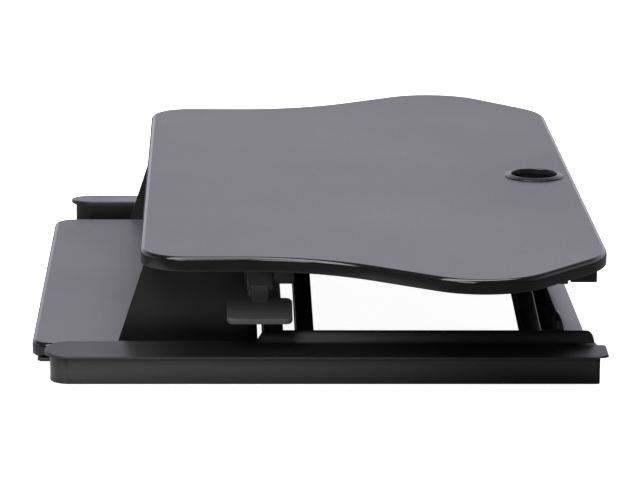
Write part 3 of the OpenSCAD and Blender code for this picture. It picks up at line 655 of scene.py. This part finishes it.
def finish_cad_nodes():
    """Gives every shown CAD node its slot's material and soft edges."""
    slots = {row["node"]: row["material_slot"] for row in frame["record"]["subparts"]}
    for name, node in frame["nodes"].items():
        if node.hide_render:
            continue
        node.data.materials.clear()
        node.data.materials.append(MATERIALS[slots[name]])
        node.modifiers.new("weld", "WELD").merge_threshold = 1e-5
        if name not in NO_BEVEL:
            bevel = node.modifiers.new("edges", "BEVEL")
            bevel.width = BEVEL_MM.get(name, DEFAULT_BEVEL_MM) * MM
            bevel.segments = 3
            bevel.limit_method = "ANGLE"
            bevel.angle_limit = math.radians(35)
            bevel.use_clamp_overlap = True
            bevel.harden_normals = True
        node.data.polygons.foreach_set("use_smooth", [True] * len(node.data.polygons))


finish_cad_nodes()


# ---------- studio ----------

def floor():
    """White paper: the camera sees it lit, while reflections of it fade away from the near foot."""
    half = 40.0
    mesh = bpy.data.meshes.new("floor")
    corners = [(-half, -half, 0), (half, -half, 0), (half, half, 0), (-half, half, 0)]
    mesh.from_pydata(corners, [], [(0, 1, 2, 3)])
    paper = bpy.data.objects.new("floor", mesh)
    paper.location.z = -0.2 * MM
    bpy.context.scene.collection.objects.link(paper)
    s = Shader("floor_paper")
    ellipse = {"Vector": s.place, "Location": (-1.5, 0.42, 0.0), "Scale": (3.3, 1.4, 0.0)}
    scaled = s.add("ShaderNodeMapping", ellipse).outputs[0]
    away = s.add("ShaderNodeVectorMath", {0: scaled}, operation="LENGTH").outputs["Value"]
    near = s.spread(away, 1.0, 0.0, 0.0, 0.9)
    seen = s.add("ShaderNodeLightPath").outputs["Is Camera Ray"]
    tone = s.mix(s.noise(1.5, 2.0), grey(0.90), grey(0.92))
    dim = s.mix(near, grey(0.16), tone)
    glow = s.add("ShaderNodeMix", {0: seen, 2: 0.0, 3: 0.95}, data_type="FLOAT").outputs[0]
    s.set(Base_Color=s.mix(seen, dim, tone), Roughness=0.8, Specular_IOR_Level=0.0,
          Emission_Color=grey(1.0), Emission_Strength=glow)
    mesh.materials.append(s.material)


BRIGHT_BAND = (1.08, 1.04, 1.22, 1.0)
DARK_ROOM = (0.14, 0.14, 0.15, 1.0)


def surroundings():
    """Room with a bright low band behind the object, darker overhead and towards the camera."""
    world = bpy.data.worlds.new("studio")
    world.use_nodes = True
    tree = world.node_tree
    where = tree.nodes.new("ShaderNodeTexCoord")
    split = tree.nodes.new("ShaderNodeSeparateXYZ")
    tree.links.new(where.outputs["Generated"], split.inputs[0])
    darker = tree.nodes.new("ShaderNodeMath")
    darker.operation = "MAXIMUM"
    for i, (axis, start, end) in enumerate([("X", -0.35, 0.45), ("Z", 0.34, 0.62)]):
        ramp = tree.nodes.new("ShaderNodeMapRange")
        ramp.inputs["From Min"].default_value = start
        ramp.inputs["From Max"].default_value = end
        tree.links.new(split.outputs[axis], ramp.inputs["Value"])
        tree.links.new(ramp.outputs["Result"], darker.inputs[i])
    blend = tree.nodes.new("ShaderNodeMix")
    blend.data_type = "RGBA"
    blend.inputs[6].default_value = BRIGHT_BAND
    blend.inputs[7].default_value = DARK_ROOM
    tree.links.new(darker.outputs[0], blend.inputs[0])
    tree.links.new(blend.outputs[2], tree.nodes["Background"].inputs["Color"])
    tree.nodes["Background"].inputs["Strength"].default_value = 1.0
    bpy.context.scene.world = world


def area_light(name, place, target, size, power):
    data = bpy.data.lights.new(name, "AREA")
    data.shape = "RECTANGLE"
    data.size, data.size_y = size
    data.energy = power
    light = bpy.data.objects.new(name, data)
    light.location = place
    aim = Vector(target) - Vector(place)
    light.rotation_euler = aim.to_track_quat("-Z", "Y").to_euler()
    bpy.context.scene.collection.objects.link(light)


def camera():
    """Long lens from the right-hand side, a little above the worktop."""
    focal_mm = 194.5
    place = Vector((4.0503, -0.1166, 1.0278))
    pitch, yaw, roll = 0.2326, 0.0319, 0.0087
    ahead = Vector((-math.cos(pitch) * math.cos(yaw), math.cos(pitch) * math.sin(yaw), -math.sin(pitch)))
    right = Vector((math.sin(yaw), math.cos(yaw), 0.0))
    up = right.cross(ahead)
    rolled_right = right * math.cos(roll) + up * math.sin(roll)
    rolled_up = up * math.cos(roll) - right * math.sin(roll)
    data = bpy.data.cameras.new("camera")
    data.lens = focal_mm
    data.sensor_width = 36.0
    data.clip_start, data.clip_end = 0.1, 100.0
    cam = bpy.data.objects.new("camera", data)
    turn = Matrix((rolled_right, rolled_up, -ahead)).transposed().to_4x4()
    cam.matrix_world = Matrix.Translation(place) @ turn
    bpy.context.scene.collection.objects.link(cam)
    bpy.context.scene.camera = cam


floor()
surroundings()
area_light("top_box", (0.5, -0.5, 2.7), (0.3, -0.3, 0.1), (1.0, 4.6), 115.0)
area_light("side_box", (2.6, -0.8, 2.3), (0.3, 0, 0.1), (1.2, 2.0), 40.0)
camera()
bpy.context.scene.view_settings.view_transform = "Standard"
